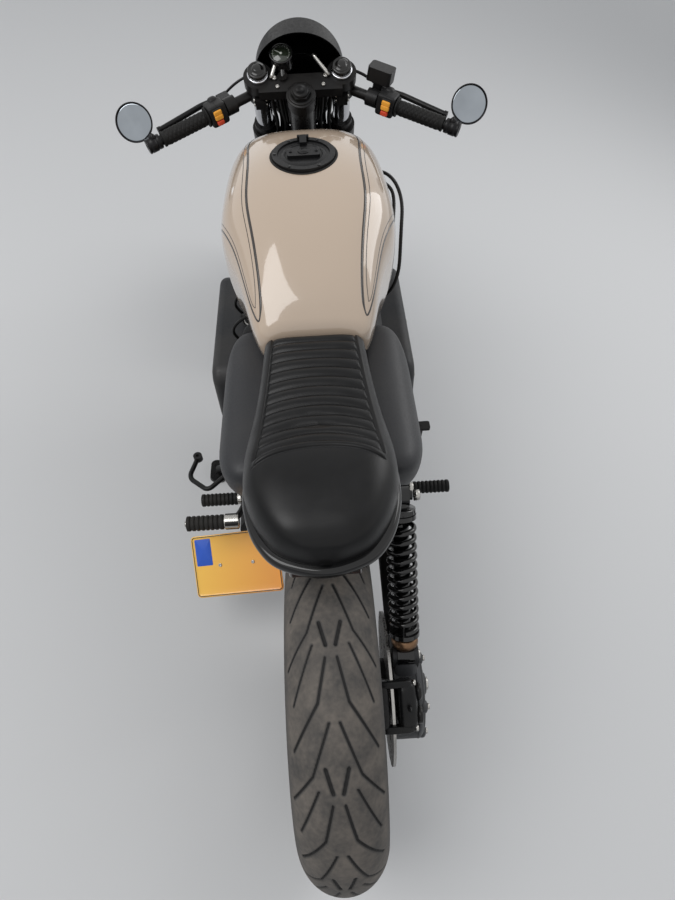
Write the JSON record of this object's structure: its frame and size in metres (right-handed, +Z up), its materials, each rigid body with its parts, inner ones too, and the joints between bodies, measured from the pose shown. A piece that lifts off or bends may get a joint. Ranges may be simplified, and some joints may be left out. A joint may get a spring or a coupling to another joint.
{
  "type": "cafe racer motorcycle",
  "caption": "Flat-four cafe racer motorcycle with shaft drive, low bars, ribbed solo seat with a hump, turning wheels, steering, filler lid and side stand.",
  "frame": {"origin": "on the ground, in the middle of the parked machine's bounding box", "axes": "+Y the way the machine faces, +Z up, +X to the rider's right; the machine leans to -X on its side stand"},
  "size_m": [0.848, 2.1669, 1.0404],
  "materials": {
    "tyre_rubber": "worn matt rubber",
    "wheel_black": "satin black coat on cast aluminium",
    "disc_steel": "ground",
    "axle_steel": "satin",
    "fork_black": "gloss black",
    "fork_chrome": "hard chrome",
    "alloy_black": "satin black",
    "grip_rubber": "matt, knurled",
    "plastic_black": "fine grain",
    "mirror_black": "satin black",
    "caliper_black": "gloss black",
    "screen_black": "gloss",
    "lamp_shell": "gloss black with a clear front",
    "gauge_black": "gloss with a clear face",
    "frame_black": "gloss black",
    "tank_paint": "gloss beige with dark thin lines",
    "filler_black": "satin black",
    "tray_black": "gloss",
    "seat_leather": "smooth grain with stitched channels",
    "lamp_red": "ribbed lens",
    "cover_black": "satin",
    "engine_grey": "cast, painted satin",
    "radiator_black": "matt core with painted tanks",
    "exhaust_black": "matt heat coat",
    "shock_black": "gloss",
    "plate_yellow": "reflective, blank",
    "peg_rubber": "ribbed sleeve on a cast hinge",
    "cable_rubber": "smooth sheath"
  },
  "bodies": {
    "chassis": {"control_cables": "cable_rubber", "engine_block": "engine_grey", "engine_covers": "engine_grey", "exhaust": "exhaust_black", "filler_ring": "filler_black", "final_drive": "engine_grey", "foot_controls": "alloy_black", "frame": "frame_black", "fuel_tank": "tank_paint", "gearbox": "engine_grey", "intake": "plastic_black", "number_plate": "plate_yellow", "pillion_footrest": "peg_rubber", "plate_bracket": "frame_black", "radiator": "radiator_black", "rear_caliper": "caliper_black", "rear_lamp": "lamp_red", "seat_hump": "seat_leather", "seat_pad": "seat_leather", "shock": "shock_black", "shock_spring": "shock_black", "side_covers": "cover_black", "swingarm": "frame_black", "tail_tray": "tray_black"},
    "steering": {"fork_sliders": "fork_black", "fork_tubes": "fork_chrome", "fork_yokes": "alloy_black", "clip_on_bars": "alloy_black", "grips": "grip_rubber", "switch_boxes": "plastic_black", "bar_end_mirrors": "mirror_black", "hand_controls": "alloy_black", "front_calipers": "caliper_black", "front_mudguard": "plastic_black", "flyscreen": "screen_black", "headlamp": "lamp_shell", "gauge": "gauge_black", "front_axle": "axle_steel"},
    "front_wheel": {"front_wheel": "wheel_black", "front_tyre": "tyre_rubber", "front_brake_discs": "disc_steel"},
    "rear_wheel": {"rear_wheel": "wheel_black", "rear_tyre": "tyre_rubber", "rear_brake_disc": "disc_steel"},
    "side_stand": {"side_stand": "frame_black"},
    "filler_lid": {"filler_lid": "filler_black"}
  },
  "joints": [
    {"name": "steering_turn", "type": "hinge", "parent": "chassis", "child": "steering", "pos_m": [0.14296, 0.71485, 0.28481], "axis": [-0.2146, -0.4615, 0.8608], "range_deg": [-30, 30]},
    {"name": "front_wheel_spin", "type": "hinge", "parent": "steering", "child": "front_wheel", "pos_m": [0.13657, 0.76559, 0.31043], "axis": [0.9703, 0.0001, 0.2419], "continuous": true},
    {"name": "rear_wheel_spin", "type": "hinge", "parent": "chassis", "child": "rear_wheel", "pos_m": [0.13294, -0.7504, 0.32543], "axis": [0.9703, 0.0001, 0.2419], "continuous": true},
    {"name": "side_stand_fold", "type": "hinge", "parent": "chassis", "child": "side_stand", "pos_m": [0.06811, -0.07844, 0.20497], "axis": [-0.7351, -0.0939, 0.6714], "range_deg": [0, 96.2]},
    {"name": "filler_lid_open", "type": "hinge", "parent": "chassis", "child": "filler_lid", "pos_m": [-0.01899, 0.17077, 0.9345], "axis": [-0.9703, -0.0001, -0.2419], "range_deg": [0, 95]}
  ]
}
